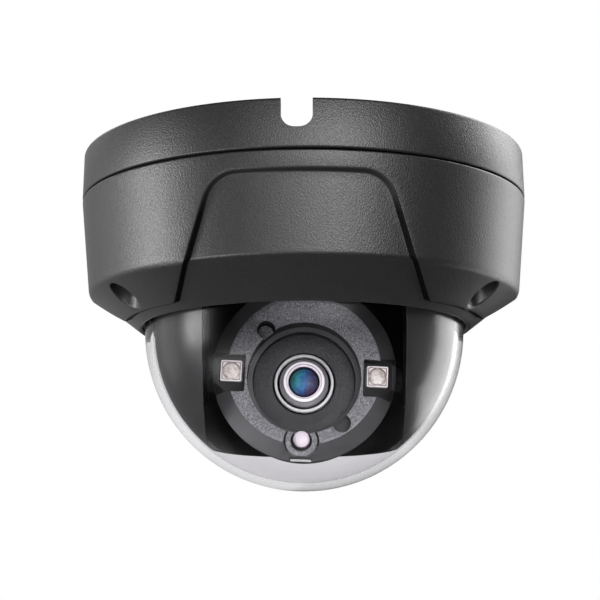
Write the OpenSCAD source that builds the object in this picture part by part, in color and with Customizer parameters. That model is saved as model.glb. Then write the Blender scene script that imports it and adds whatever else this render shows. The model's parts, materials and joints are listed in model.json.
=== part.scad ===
// Ceiling dome camera, built as the separate pieces that it comes apart into.
// Millimetres. The origin is the centre of the base's back face, on the ceiling.
// +Z points up into the ceiling, the dome hangs towards -Z, and the front is towards -Y.

/* [Body] */
// Radius of the body at the seam between the base and the cover
body_r = 55.5; // [55.2:0.1:56.5]
// Radius of the base where it meets the ceiling
rim_r = 55.2; // [54.8:0.1:55.6]
// Height of the base from the ceiling to the seam
base_h = 11.5; // [11.2:0.1:11.8]
// Radius where the cover's side would meet its cone
edge_r = 53.5; // [53.2:0.1:54]
// Rounding of the edge between the side and the cone
edge_round = 2.5; // [2.3:0.1:3.5]
// Angle of the cone above the horizontal
cone_a = 38; // [37:0.5:39]
// Outer radius of the lip around the dome
lip_r = 41.2; // [41:0.1:41.5]
// Height of that lip below the ceiling
lip_h = 43.4; // [43.2:0.1:43.6]

/* [Recessed panels] */
// Depth of the three panels and of the low band around the lip
panel_depth = 1.3; // [1:0.1:1.4]
// Height of a panel's upper edge below the ceiling
panel_top_h = 16.1; // [15:0.1:17.5]
// Half width of a panel near its upper edge
panel_top_w = 19.4; // [18:0.1:20.5]
// Half width of a panel at the cover's lower edge
panel_low_w = 25.4; // [24.5:0.1:26.5]
// Radius of a panel's upper corners
panel_round = 6; // [4:0.5:7]
// Radius on the cone where the raised lugs end
lug_r = 44; // [43.6:0.1:44.6]

/* [Ceiling fixing] */
// Pitch circle diameter of the ceiling screws
fix_pcd = 78; // [76:1:79]
// Radius of the holes for the ceiling screws
fix_hole_r = 2.25; // [2:0.05:2.6]
// Width of the side notch for surface wiring
notch_w = 7.1; // [6:0.1:8]
// Depth of that notch from the ceiling
notch_h = 6.8; // [6:0.1:7.4]
// Offset of that notch from the front's centre
notch_x = -1.45; // [-2:0.05:2]
// Radius of the bore through the cable grommet
cable_r = 3.2; // [2.5:0.1:3.6]

/* [Dome] */
// Outer radius of the clear dome
dome_r = 39.6; // [39.5:0.05:39.7]
// Wall of the clear dome
dome_t = 2; // [1.8:0.1:2]
// Height of the dome's centre below the ceiling
dome_h = 43.8; // [43.6:0.1:44]

/* [Cover screws] */
// Distance of the cover screws from the centre
screw_at = 48.8; // [48.6:0.1:48.9]
// Radius of the counterbores that the heads sit in
screw_well_r = 3.4; // [3.2:0.1:3.5]

/* [Camera head] */
// Height of the tilt axis below the ceiling
tilt_h = 56; // [55.5:0.1:56.3]
// Angle of the head above the horizontal when it rests on its stop
look_up = 6; // [4:0.5:8]
// Angle that the head is turned about its own axis, clockwise from the front
head_roll = 2.7; // [-10:0.1:10]
// Radius of the head's front bezel
disc_r = 22.3; // [22:0.1:22.4]
// Radius of the bezel's flat face
face_r = 18.6; // [18.2:0.1:19]
// Radius of the well around the lens
well_r = 13.8; // [13.6:0.1:13.9]
// Distance of the lens axis below the bezel's centre
lens_drop = 2; // [1.8:0.1:2.1]
// Distance of each infrared lamp from the bezel's centre
lamp_x = 17.8; // [17.6:0.1:18]
// Width of a lamp
lamp_w = 5.2; // [4.8:0.1:5.2]

/* [Lens] */
// Radius of the lens thread
thread_r = 6; // [5.95:0.01:6]
// Travel of the infrared filter's slider
filter_travel = 5.5; // [5:0.1:5.5]

/* [Hidden] */
$fn = 96;

shell_grey = [0.20, 0.20, 0.21];
satin_black = [0.07, 0.07, 0.08];
soft_black = [0.12, 0.12, 0.13];
silver = [0.80, 0.81, 0.83];
zinc = [0.62, 0.64, 0.66];
rubber = [0.05, 0.05, 0.05];
board_green = [0.05, 0.26, 0.14];
board_white = [0.90, 0.90, 0.88];

// Running clearances, and the small gap that keeps touching faces apart
run = 0.05;
hair = 0.1;
eps = 0.01;

// Base
seam_gap = 0.4;
rim_wall = 3.7;
floor_t = 3.2;
floor_top = -(base_h - floor_t);
floor_low = -base_h;
fix_boss_r = 5;
spigot_r = 51.6;
spigot_t = 2.2;
spigot_low = floor_low - 4;
groove_r = 50.85;
groove_h = 1.2;
groove_z = floor_low - 2.3;
seal_r = 0.5;
post_r = 2.7;
post_low = -18;
collar_r = 13;
collar_in = 9;
collar_low = -15.5;

// Cover
cover_top = -(base_h + seam_gap);
lip_in = 40.3;
ledge_z = -39.6;
ledge_r = 44.1;
inner_edge_r = 50.6;
inner_top_r = 52.3;
shell_up = 2.0;
bond = 0.6;
tube_r = 4.8;
tube_top = post_low - seam_gap;
seat_z = -31;
screw_az = [-60, 60, 180];
panel_az = [0, 120, -120];
clamp_r = 46.4;
clamp_boss_r = 2.3;
clamp_z = -34.6;

// Dome and its clamp ring
dome_z = -dome_h;
flange_r = 43.7;
flange_low = -38.8;
flange_top = -37.2;
clamp_in = 38;
clamp_t = 1.2;

// Pan stage
table_top = -12.6;
table_low = -15.4;
table_r = 33;
keep_r = 17;
keep_low = -17.1;
plate_low = table_low - 2;
plate_in = 17.6;
plate_r = 27.7;
plate_screw_at = 22.5;
liner_r = 37.2;
liner_t = 1.2;
liner_top = table_low;
liner_flange_r = 28;
liner_screw_at = 31;
liner_cut = -73.2;
slot_w = 23.8;
slot_top = -30;
arm_in = 24.2;
arm_out = 26.2;
arm_w = 7;
pivot_r = 2.5;

// Head, measured forward from the tilt axis
face_s = 11.5;
rim_s = 9.3;
back_s = 4;
web_s = 8;
step_s = 7.2;
step_r = 12.6;
plate_s = 5;
board_s = [5.0, 6.4];
flange_s = [3.3, 4.9];
board_r = 20.3;
board_screw_at = 18.7;
ring_s = [-3.2, 3.1];
ring_in = 19.05;
ring_out = 20.4;
shell_r = 19;
neck_r = 17.8;
shoulder_s = -3.3;
tail_r = 13.4;
tail_s = -19.5;
lamp_y = -0.5;
sensor_y = -16.5;
barrel_s = [-7, 3.3, 4.2, 6.9];
trim_r = 7.25;
bore_r = 4.1;
holder_s = [-9.5, -8, 2.9];
filter_s = [-12.9, -9.6];
pcb_s = [-15, -13.9];
stack_screw = [8.6, 5.1];
notch_at = [[-9.7, 9.5], [9.5, -12.9]];

function unit(v) = v / norm(v);

// Points of an arc of radius r that rounds the corner b between a and c
function fillet(a, b, c, r, n = 6) =
    let (u = unit(a - b), v = unit(c - b), h = acos(u * v) / 2,
         m = b + unit(u + v) * r / sin(h),
         s = b + u * r / tan(h) - m, e = b + v * r / tan(h) - m,
         a0 = atan2(s.y, s.x), da = (atan2(e.y, e.x) - a0 + 540) % 360 - 180)
    [for (i = [0:n]) m + r * [cos(a0 + da * i / n), sin(a0 + da * i / n)]];

// Height of the cone at radius r, cut d deep below the raised lugs
function cone_z(r, d) =
    -lip_h + (r - lip_r) * tan(cone_a) - (panel_depth - d) / cos(cone_a);

// The cover's skin from its top to radius low_r on the cone, d inside the raised lugs
function skin(d, low_r) =
    let (top = [body_r - d, cover_top], corner = [edge_r - d, cone_z(edge_r - d, d)],
         low = [low_r, cone_z(low_r, d)])
    concat([top], fillet(top, corner, low, edge_round - d), [low]);

function reverse(points) = [for (i = [len(points) - 1:-1:0]) points[i]];

// Front slope of the lens glass, a shallow cap of radius r and height h
function cap(r, h, z, n = 8) =
    let (ball = (r * r + h * h) / (2 * h), a = asin(r / ball))
    [for (i = [0:n]) [ball * sin(a * (1 - i / n)), z + ball * cos(a * (1 - i / n)) - ball + h]];

module spin(points) { rotate_extrude() polygon(points); }

module tube(r_in, r_out, z_low, z_top) {
    spin([[r_in, z_low], [r_out, z_low], [r_out, z_top], [r_in, z_top]]);
}

module rod(r, z_low, z_top) { translate([0, 0, z_low]) cylinder(r = r, h = z_top - z_low); }

// A box from its centre line: w wide, d deep, between two heights
module block(w, d, z_low, z_top) {
    translate([-w / 2, -d / 2, z_low]) cube([w, d, z_top - z_low]);
}

// Places a child at distance r from the axis, at an angle counted from the front
module at_az(az, r) { rotate([0, 0, az]) translate([0, -r, 0]) children(); }

// A pan head screw that points up from its head, with a hexagon socket
module screw(r, head_r, head_h, seat, tip) {
    difference() {
        union() {
            rod(r, seat - eps, tip);
            rod(head_r, seat - head_h, seat);
        }
        translate([0, 0, seat - head_h - eps]) cylinder(r = head_r * 0.5, h = head_h * 0.6, $fn = 6);
    }
}

// Tilting frame: X to the right, Y up and Z forward, as seen from in front
module in_tilt() { translate([0, 0, -tilt_h]) rotate([90 - look_up, 0, 0]) children(); }
module in_head() { in_tilt() rotate([0, 0, -head_roll]) children(); }
module in_lens() { in_head() translate([0, -lens_drop, 0]) children(); }

// ---- Base ----

module base_housing() {
    color(shell_grey) difference() {
        union() {
            spin([[collar_in, floor_top], [collar_in, collar_low], [collar_r, collar_low],
                  [collar_r, floor_low], [spigot_r - spigot_t, floor_low],
                  [spigot_r - spigot_t, spigot_low], [spigot_r, spigot_low],
                  [spigot_r, floor_low], [body_r - 0.4, floor_low], [body_r, floor_low + 0.4],
                  [rim_r, -0.5], [rim_r - 0.5, 0], [rim_r - rim_wall, 0],
                  [rim_r - rim_wall, floor_top]]);
            for (az = [45:90:315]) at_az(az, fix_pcd / 2) rod(fix_boss_r, floor_top - eps, 0);
            for (az = screw_az) at_az(az, screw_at) rod(post_r, post_low, floor_low + eps);
        }
        for (az = [45:90:315]) at_az(az, fix_pcd / 2) rod(fix_hole_r, floor_low - 1, 1);
        for (az = screw_az) at_az(az, screw_at) rod(1.5 + run, post_low - 1, -13);
        for (az = [0:120:240]) at_az(az, 11) rod(0.85, collar_low - 1, collar_low + 5);
        tube(groove_r, spigot_r + 1, groove_z - groove_h / 2, groove_z + groove_h / 2);
        side_notch();
    }
}

// The side notch, with rounded lower corners
module side_notch() {
    w = notch_w / 2;
    low = [[-w, -notch_h], [w, -notch_h]];
    translate([notch_x, -rim_r + 6, 0]) rotate([90, 0, 0]) linear_extrude(height = 8)
        polygon(concat([[w, 1], [-w, 1]], fillet([-w, 1], low[0], low[1], 3),
                       fillet(low[0], low[1], [w, 1], 3)));
}

module cable_grommet() {
    color(rubber)
    spin([[cable_r, -15.5], [collar_in - run, -15.5], [collar_in - run, floor_top + hair],
          [12, floor_top + hair], [12, -6], [cable_r, -6]]);
}

module cover_seal() {
    color(rubber) rotate_extrude()
        translate([groove_r + seal_r + run, groove_z]) circle(r = seal_r);
}

module pan_washer() { color(zinc) tube(collar_r + 0.2, 20, table_top + hair, floor_low - hair); }

module pan_retainer() {
    color(zinc) difference() {
        tube(collar_in, keep_r, keep_low, collar_low - hair);
        for (az = [0:120:240]) at_az(az, 11) rod(1, keep_low - 1, collar_low);
    }
}

module pan_retainer_screws() {
    color(silver) for (az = [0:120:240]) at_az(az, 11) screw(0.8, 1.7, 1.1, keep_low, -11.5);
}

// ---- Cover ----

module trim_cover() {
    inner = [inner_edge_r, cone_z(inner_edge_r, panel_depth) + shell_up];
    cone_in = [ledge_r, cone_z(ledge_r, panel_depth) + shell_up];
    color(shell_grey) difference() {
        union() {
            spin(concat(skin(panel_depth, lip_r),
                 [[lip_in, -lip_h + 0.3], [lip_in, ledge_z], [ledge_r, ledge_z],
                  cone_in, inner, [inner_top_r, cover_top]]));
            difference() {
                spin(concat(skin(0, lug_r), reverse(skin(panel_depth + bond, lug_r))));
                for (az = panel_az) rotate([0, 0, az]) panel_cut();
            }
            intersection() {
                spin(concat(skin(panel_depth + bond, lug_r),
                            [[0, cone_z(lug_r, panel_depth + bond)], [0, cover_top]]));
                union() {
                    for (az = screw_az) at_az(az, screw_at) rod(tube_r, -42, tube_top);
                    for (az = panel_az) at_az(az, clamp_r) rod(clamp_boss_r, -38.5, clamp_z);
                }
            }
        }
        for (az = screw_az) at_az(az, screw_at) {
            rod(screw_well_r, -50, seat_z);
            rod(1.75, seat_z - eps, tube_top + 1);
        }
        for (az = panel_az) at_az(az, clamp_r) rod(1.25, -37.8, clamp_z + 1);
    }
}

// The outline of a recessed panel, drawn from the front and pushed through the side
module panel_cut() {
    edge_z = cone_z(edge_r, 0);
    slope = (panel_low_w - panel_top_w) / (-panel_top_h - edge_z);
    foot_z = -60;
    top = [panel_top_w, -panel_top_h];
    low = [panel_low_w, edge_z];
    foot = [panel_low_w + 1.6 * slope * (edge_z - foot_z), foot_z];
    right = concat([foot, low], fillet(low, top, [0, top.y], panel_round));
    left = [for (p = reverse(right)) [-p.x, p.y]];
    rotate([90, 0, 0]) linear_extrude(height = 70) polygon(concat(right, left));
}

module dome_bubble() {
    r_in = dome_r - dome_t;
    color([0.85, 0.88, 0.90, 0.25])
    spin(concat([[r_in, flange_top], [r_in, dome_z]],
                [for (a = [3:3:87]) [r_in * cos(a), dome_z - r_in * sin(a)]],
                [[0, dome_z - r_in], [0, dome_z - dome_r]],
                [for (a = [87:-3:3]) [dome_r * cos(a), dome_z - dome_r * sin(a)]],
                [[dome_r, dome_z], [dome_r, flange_low], [flange_r, flange_low],
                 [flange_r, flange_top]]));
}

module dome_gasket() {
    r_in = dome_r + hair;
    color(rubber)
    spin([[r_in, -42.6], [lip_in - hair, -42.6], [lip_in - hair, ledge_z], [ledge_r - 0.2, ledge_z],
          [ledge_r - 0.2, flange_low], [r_in, flange_low]]);
}

module dome_retainer() {
    color(zinc) difference() {
        union() {
            spin([[clamp_in, flange_top], [flange_r, flange_top], [flange_r, clamp_z + clamp_t],
                  [flange_r - 1.5, clamp_z + clamp_t], [flange_r - 1.5, flange_top + clamp_t],
                  [clamp_in, flange_top + clamp_t]]);
            for (az = panel_az) at_az(az, clamp_r) {
                rod(2.6, clamp_z, clamp_z + clamp_t);
                translate([-2.6, 0, clamp_z]) cube([5.2, clamp_r - flange_r + 1, clamp_t]);
            }
        }
        for (az = panel_az) at_az(az, clamp_r) rod(1.4, clamp_z - 1, clamp_z + 2);
    }
}

module retainer_screws() {
    color(silver) for (az = panel_az) at_az(az, clamp_r)
        translate([0, 0, clamp_z + clamp_t]) mirror([0, 0, 1]) screw(1.2, 2.2, 1.5, 0, 4);
}

module screw_seals() {
    color(rubber) for (az = screw_az) at_az(az, screw_at) tube(1.7, 3.1, seat_z - 0.5, seat_z);
}

module cover_screw(az) {
    color(satin_black) at_az(az, screw_at) screw(1.5, 2.9, 2.6, seat_z - 0.5 - hair, -14);
}

module cover_screw_left() { cover_screw(screw_az[0]); }
module cover_screw_right() { cover_screw(screw_az[1]); }
module cover_screw_rear() { cover_screw(screw_az[2]); }

// ---- Pan stage ----

module pan_table() {
    color(soft_black) difference() {
        tube(collar_r + run, table_r, table_low, table_top);
        for (az = [45:90:315]) at_az(az, plate_screw_at) rod(1.25, table_low - 1, table_top + 1);
        for (az = [60:120:300]) at_az(az, liner_screw_at) rod(1.05, table_low - 1, table_top + 1);
        at_az(180, plate_screw_at) rod(1.5 + run, table_low - 1, table_top + 1);
    }
}

module yoke() {
    color(satin_black) difference() {
        union() {
            tube(plate_in, plate_r, plate_low, table_low);
            for (side = [-1, 1]) {
                translate([side * (arm_in + arm_out) / 2, 0, 0])
                    block(arm_out - arm_in, 2 * arm_w, -tilt_h, table_low);
                translate([side * arm_in, 0, -tilt_h]) rotate([0, side * 90, 0])
                    cylinder(r = arm_w, h = arm_out - arm_in);
            }
        }
        translate([-arm_out - 1, 0, -tilt_h]) rotate([0, 90, 0])
            cylinder(r = pivot_r + run, h = 2 * arm_out + 2);
        for (az = [45:90:315]) at_az(az, plate_screw_at) rod(1.3, plate_low - 1, table_low + 1);
        at_az(180, plate_screw_at) rod(2, plate_low - 1, table_low + 1);
    }
}

module inner_liner() {
    r_in = liner_r - liner_t;
    color(satin_black) difference() {
        spin(concat([[liner_flange_r, liner_top], [liner_flange_r, liner_top - liner_t],
                     [r_in, liner_top - liner_t], [r_in, dome_z]],
                    [for (a = [4:4:88]) [r_in * cos(a), dome_z - r_in * sin(a)]],
                    [[0, dome_z - r_in], [0, dome_z - liner_r]],
                    [for (a = [88:-4:4]) [liner_r * cos(a), dome_z - liner_r * sin(a)]],
                    [[liner_r, dome_z], [liner_r, liner_top]]));
        translate([-50, -50, liner_cut - 20]) cube([100, 100, 20]);
        translate([-slot_w, -50, liner_cut - 1]) cube([2 * slot_w, 50, slot_top - liner_cut + 1]);
        for (az = [60:120:300]) at_az(az, liner_screw_at) rod(1.2, liner_top - 2, liner_top + 1);
    }
}

module yoke_screws() {
    color(silver) for (az = [45:90:315]) at_az(az, plate_screw_at)
        screw(1.2, 2.3, 1.4, plate_low, table_top - 0.4);
}

module liner_screws() {
    color(silver) for (az = [60:120:300]) at_az(az, liner_screw_at)
        screw(1, 2, 1.2, liner_top - liner_t, table_top - 0.4);
}

module pan_lock_screw() {
    color(zinc) at_az(180, plate_screw_at) screw(1.5, 3, 2.6, plate_low - 0.3, floor_low - 0.3);
}

// ---- Tilting frame ----

module tilt_ring() {
    color(soft_black) in_tilt() difference() {
        union() {
            tube(ring_in, ring_out, ring_s[0], ring_s[1]);
            for (side = [-1, 1]) rotate([0, side * 90, 0]) {
                rod(3, ring_out - 1, arm_in - 0.3);
                rod(pivot_r, ring_out - 1, arm_out + hair);
            }
        }
        for (side = [-1, 1]) rotate([0, side * 90, 0]) rod(1 + run, 22, arm_out + 1);
    }
}

module tilt_washers() {
    color(zinc) in_tilt() for (side = [-1, 1]) rotate([0, side * 90, 0])
        tube(1.2, 4.2, arm_out + 2 * hair, arm_out + 0.6);
}

module tilt_screw(side) {
    seat = arm_out + 0.7;
    color(satin_black) in_tilt() rotate([0, side * 90, 0])
        translate([0, 0, seat]) mirror([0, 0, 1]) screw(1, 3.2, 1.7, 0, seat - 22.3);
}

module tilt_screw_left() { tilt_screw(-1); }
module tilt_screw_right() { tilt_screw(1); }

// ---- Camera head ----

module front_bezel() {
    color(soft_black) in_head() difference() {
        union() {
            spin([[0, web_s], [board_r + 0.1, web_s], [board_r + 0.1, back_s], [disc_r - 1.1, back_s],
                  [disc_r, rim_s - 0.8], [disc_r, rim_s], [face_r, face_s], [0, face_s]]);
            translate([0, -lens_drop, 0]) {
                rod(well_r + 1, board_s[1] + 0.1, web_s + 1);
                rod(step_r + 1, plate_s - 1.1, web_s);
            }
        }
        translate([0, -lens_drop, 0]) {
            rod(well_r, step_s, face_s + 1);
            rod(step_r, 0, face_s);
        }
        for (at = notch_at) translate(at) rod(2.25, 9.9, face_s + 1);
        for (side = [-1, 1]) translate([side * lamp_x, lamp_y, 0]) {
            block(lamp_w + 0.4, lamp_w + 0.4, board_s[1] - 0.1, face_s + 1);
            translate([0, -1.1, 0]) block(7, 8.8, 9.4, face_s + 1);
        }
        translate([0, sensor_y - 0.5, 0]) rod(2.5, 0, face_s + 1);
        translate([-2.7, -disc_r - 1, 0]) cube([5.4, 2, face_s]);
        translate([-2.7, -disc_r - 1, 0]) cube([5.4, 3.2, web_s - 0.6]);
    }
}

module lens_plate() {
    color(satin_black) in_lens() tube(trim_r + 0.45, step_r - run, plate_s - 1.1, plate_s);
}

module head_shell() {
    color(soft_black) in_head() difference() {
        spin([[neck_r - 0.3, flange_s[1]], [neck_r - 0.3, shoulder_s + 1.7],
              [neck_r - 1.4, shoulder_s - 0.4], [neck_r - 1.4, -7.6], [tail_r - 1.1, tail_s + 1.4],
              [0, tail_s + 1.4], [0, tail_s], [tail_r, tail_s], [neck_r, -8],
              [neck_r, shoulder_s], [shell_r, shoulder_s], [shell_r, flange_s[0]],
              [board_r, flange_s[0]], [board_r, flange_s[1]]]);
        for (a = [45:90:315]) rotate([0, 0, a]) translate([board_screw_at, 0, 0])
            rod(0.85, flange_s[0] + 0.2, 6);
    }
}

module roll_retainer() { color(zinc) in_head() tube(neck_r + run, 19.9, shoulder_s - 1.4, shoulder_s - 0.1); }

module lamp_board() {
    color(board_white) in_head() difference() {
        union() {
            rod(board_r, board_s[0], board_s[1]);
            translate([0, -19.5, 0]) block(5, 3.8, board_s[0], board_s[1]);
        }
        translate([0, -lens_drop, 0]) rod(step_r + 1.2, board_s[0] - 1, board_s[1] + 1);
        for (a = [45:90:315]) rotate([0, 0, a]) translate([board_screw_at, 0, 0]) rod(0.9, 4, 7);
    }
}

module lamp_board_screws() {
    color(silver) in_head() for (a = [45:90:315]) rotate([0, 0, a])
        translate([board_screw_at, 0, board_s[1]]) mirror([0, 0, 1]) screw(0.8, 1.4, 0.9, 0, 2.7);
}

// An infrared lamp: a square body with a round lens standing in it
module ir_lamp(side) {
    color([0.95, 0.90, 0.88]) in_head() translate([side * lamp_x, lamp_y, 0]) {
        difference() {
            block(lamp_w, lamp_w, board_s[1], 9.3);
            rod(lamp_w * 0.42, 8.5, 10);
        }
        spin(concat([[0, 8.4]], [[lamp_w * 0.4, 8.4]], cap(lamp_w * 0.4, 0.9, 8.6)));
    }
}

module ir_lamp_left() { ir_lamp(-1); }
module ir_lamp_right() { ir_lamp(1); }

module light_sensor() {
    color([0.92, 0.88, 0.90]) in_head() translate([0, sensor_y, 0])
        spin(concat([[0, board_s[1]], [2, board_s[1]]], cap(2, 0.5, 10.1)));
}

// ---- Inside the head ----

module lens_holder() {
    color(satin_black) in_lens() difference() {
        union() {
            rod(8.2, holder_s[1] - eps, holder_s[2]);
            translate([0, lens_drop, 0]) rod(15.5, holder_s[0], holder_s[1]);
        }
        rod(thread_r + run, holder_s[0] - 1, holder_s[2] + 1);
        for (side = [-1, 1]) translate(side * stack_screw) rod(0.85, holder_s[0] - 1, -8.4);
    }
}

module filter_housing() {
    mid = (filter_s[0] + filter_s[1]) / 2;
    color(soft_black) in_lens() difference() {
        block(20, 14, filter_s[0], filter_s[1]);
        block(17.9, 8.4, mid - 0.8, mid + 0.8);
        rod(2.9, filter_s[0] - 1, filter_s[1] + 1);
        for (side = [-1, 1]) translate(side * stack_screw) rod(0.9, filter_s[0] - 1, filter_s[1] + 1);
    }
}

module filter_coil() {
    color([0.55, 0.30, 0.12]) in_lens() translate([0, 9.2, 0]) block(8, 4.2, -13.8, filter_s[1]);
}

module sensor_board() {
    color(board_green) in_lens() difference() {
        block(20, 13.2, pcb_s[0], pcb_s[1]);
        for (side = [-1, 1]) translate(side * stack_screw) rod(0.9, pcb_s[0] - 1, pcb_s[1] + 1);
    }
}

module image_sensor() {
    color([0.15, 0.16, 0.20]) in_lens() block(7.4, 6, pcb_s[1], filter_s[0] - run);
}

module processor() { color(satin_black) in_lens() block(8, 7, pcb_s[0] - 1.1, pcb_s[0]); }

module board_connector() {
    color([0.88, 0.86, 0.80]) in_lens() translate([0, -5.1, 0]) difference() {
        block(9, 2.8, pcb_s[0] - 2.2, pcb_s[0]);
        block(7.8, 1.8, pcb_s[0] - 3, pcb_s[0] - 0.6);
    }
}

module thermal_pad() {
    color([0.45, 0.55, 0.66]) in_lens() block(8, 7, tail_s + 1.4, pcb_s[0] - 1.1);
}

module holder_screws() {
    color(silver) in_lens() for (side = [-1, 1]) translate(side * stack_screw)
        screw(0.8, 1.5, 1, pcb_s[0], -8.6);
}

// ---- Lens ----

module lens_barrel() {
    color(satin_black) in_lens()
    spin([[bore_r, barrel_s[0]], [thread_r, barrel_s[0]], [thread_r, barrel_s[1]],
          [trim_r, barrel_s[1]], [trim_r, barrel_s[2]], [thread_r, barrel_s[2]],
          [5.1, barrel_s[3]],
          [bore_r, barrel_s[3]]]);
}

module lens_trim_ring() {
    color(silver) in_lens()
    spin([[trim_r - 0.6, barrel_s[2]], [trim_r, barrel_s[2]], [trim_r, 5.5], [trim_r - 0.2, 5.7],
          [trim_r - 0.45, 5.7], [trim_r - 0.6, 5.5]]);
}

module lens_front_ring() {
    color(silver) in_lens()
    spin([[3.85, 6.9], [5.05, 6.9], [5.05, 7.2], [4.8, 7.5], [4.2, 7.5], [3.85, 7.1]]);
}

module front_glass() {
    color([0.10, 0.22, 0.40, 0.7]) in_lens()
    spin(concat([[0, 4.5], [3.8, 4.5]], cap(3.8, 1.2, 5.9)));
}

module aperture_stop() { color(satin_black) in_lens() tube(1.8, bore_r - run, 0, 0.8); }

module rear_glass() { color([0.10, 0.22, 0.40, 0.7]) in_lens() rod(bore_r - run, -6.5, -4.5); }

// ---- Infrared filter slider ----

module in_slider() {
    in_lens() translate([filter_travel / 2, 0, (filter_s[0] + filter_s[1]) / 2]) children();
}

module filter_slider() {
    color([0.16, 0.16, 0.17]) in_slider() difference() {
        block(11.8, 8, -0.6, 0.6);
        for (side = [-1, 1]) translate([side * filter_travel / 2, 0, 0]) block(5, 6, -1, 1);
    }
}

module filter_pane(side) {
    in_slider() translate([side * filter_travel / 2, 0, 0]) block(4.9, 5.9, -0.25, 0.25);
}

module ir_cut_filter() { color([0.45, 0.75, 0.80, 0.6]) filter_pane(-1); }
module clear_filter() { color([0.90, 0.92, 0.92, 0.4]) filter_pane(1); }

base_housing();
cable_grommet();
cover_seal();
pan_washer();
pan_retainer();
pan_retainer_screws();
trim_cover();
dome_bubble();
dome_gasket();
dome_retainer();
retainer_screws();
screw_seals();
cover_screw_left();
cover_screw_right();
cover_screw_rear();
pan_table();
yoke();
inner_liner();
yoke_screws();
liner_screws();
pan_lock_screw();
tilt_ring();
tilt_washers();
tilt_screw_left();
tilt_screw_right();
front_bezel();
lens_plate();
head_shell();
roll_retainer();
lamp_board();
lamp_board_screws();
ir_lamp_left();
ir_lamp_right();
light_sensor();
lens_holder();
filter_housing();
filter_coil();
sensor_board();
image_sensor();
processor();
board_connector();
thermal_pad();
holder_screws();
lens_barrel();
lens_trim_ring();
lens_front_ring();
front_glass();
aperture_stop();
rear_glass();
filter_slider();
ir_cut_filter();
clear_filter();
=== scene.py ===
"""Dome camera for a ceiling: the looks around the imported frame. Metres, +Z up, front towards -Y."""

import json
import math

import bmesh
import bpy
import numpy as np
from mathutils import Matrix, Vector
from mathutils.geometry import delaunay_2d_cdt

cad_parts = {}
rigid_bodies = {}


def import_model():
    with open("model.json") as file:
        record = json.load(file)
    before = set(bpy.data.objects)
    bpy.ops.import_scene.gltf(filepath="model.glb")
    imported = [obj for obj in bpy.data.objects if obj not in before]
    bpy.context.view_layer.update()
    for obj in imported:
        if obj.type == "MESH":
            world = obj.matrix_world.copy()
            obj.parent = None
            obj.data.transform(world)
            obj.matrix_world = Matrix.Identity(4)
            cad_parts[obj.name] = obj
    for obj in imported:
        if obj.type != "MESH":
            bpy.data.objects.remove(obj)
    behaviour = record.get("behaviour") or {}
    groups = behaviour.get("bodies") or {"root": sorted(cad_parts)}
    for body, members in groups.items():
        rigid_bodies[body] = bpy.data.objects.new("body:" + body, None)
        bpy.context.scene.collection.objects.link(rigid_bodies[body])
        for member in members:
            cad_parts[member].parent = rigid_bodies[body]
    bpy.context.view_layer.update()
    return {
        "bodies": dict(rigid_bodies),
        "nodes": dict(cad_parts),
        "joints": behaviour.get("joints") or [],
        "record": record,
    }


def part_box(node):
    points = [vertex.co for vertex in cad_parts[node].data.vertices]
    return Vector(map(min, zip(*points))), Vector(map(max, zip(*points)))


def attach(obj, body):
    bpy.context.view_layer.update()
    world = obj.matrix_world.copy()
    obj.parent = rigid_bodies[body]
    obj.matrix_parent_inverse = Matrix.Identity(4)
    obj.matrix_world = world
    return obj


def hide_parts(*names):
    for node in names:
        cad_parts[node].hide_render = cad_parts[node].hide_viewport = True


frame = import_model()
MM = 0.001
NODES = frame["nodes"]
SLOT = {p["node"]: p["material_slot"] for p in frame["record"]["subparts"]}
JOINT = {j["name"]: j for j in frame["joints"]}


def low_mm(node):
    return [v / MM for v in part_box(node)[0]]


def high_mm(node):
    return [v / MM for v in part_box(node)[1]]


# ---------------------------------------------------------------- sizes, millimetres
COVER_TOP = high_mm("trim_cover")[2]
BODY_R = high_mm("trim_cover")[0]
LIP_Z = low_mm("trim_cover")[2]
LIP_R = 41.2
LIP_IN = 40.3
EDGE_R = 53.5
EDGE_ROUND = 2.5
CONE_A = math.radians(38)
PANEL_DEPTH = 1.3
PANEL_TOP = -16.1
PANEL_TOP_W = 19.4
PANEL_LOW_W = 25.4
PANEL_ROUND = 7.5
LUG_FOOT = 44.5
SCREW_R = 48.8
WELL_R = 3.4
SEAT_Z = -31.0
TUBE_TOP = -18.4
SCREW_HOLE_R = 1.75
WELL_STEPS = 56
CLAMP_R = 46.4
CLAMP_HOLE_R = 1.25
CLAMP_BOSS_R = 2.3
CLAMP_TOP = -34.6
CLAMP_LOW = -37.2
WALL_IN_TOP = 52.3
WALL_IN_EDGE = 50.6
LEDGE_Z = -39.6
LEDGE_R = 44.1
SHELL_UP = 2.0
BASE_LOW = -11.5
RIM_R = 55.2
RIM_WALL = 3.7
FLOOR_TOP = -8.3
SPIGOT_R = 51.6
SPIGOT_LOW = -15.5
GROOVE_R = 50.85
GROOVE_TOP = -13.2
GROOVE_LOW = -14.4
FIX_RING_R = 39.0
FIX_BOSS_R = 5
FIX_HOLE_R = 2.25
POST_LOW = -18
SIDE_NOTCH_X = -1.45
SIDE_NOTCH_W = 3.55
SIDE_NOTCH_H = 6.8
DOME_LOW = low_mm("dome_bubble")[2]
DOME_R = 39.6
DOME_Z = DOME_LOW + DOME_R
DOME_T = 2.0
LINER_R = high_mm("inner_liner")[0]
LINER_T = 1.2
LINER_TOP = high_mm("inner_liner")[2]
LINER_CUT = low_mm("inner_liner")[2]
SLOT_W = 23.8
SCREW_AZ = (-60, 60, 180)
PANEL_AZ = (0, 120, -120)


# ---------------------------------------------------------------- outlines and meshes
CUTTER_TURN = 0.37    # of one step


def unit(v):
    return v / np.linalg.norm(v)


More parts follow.
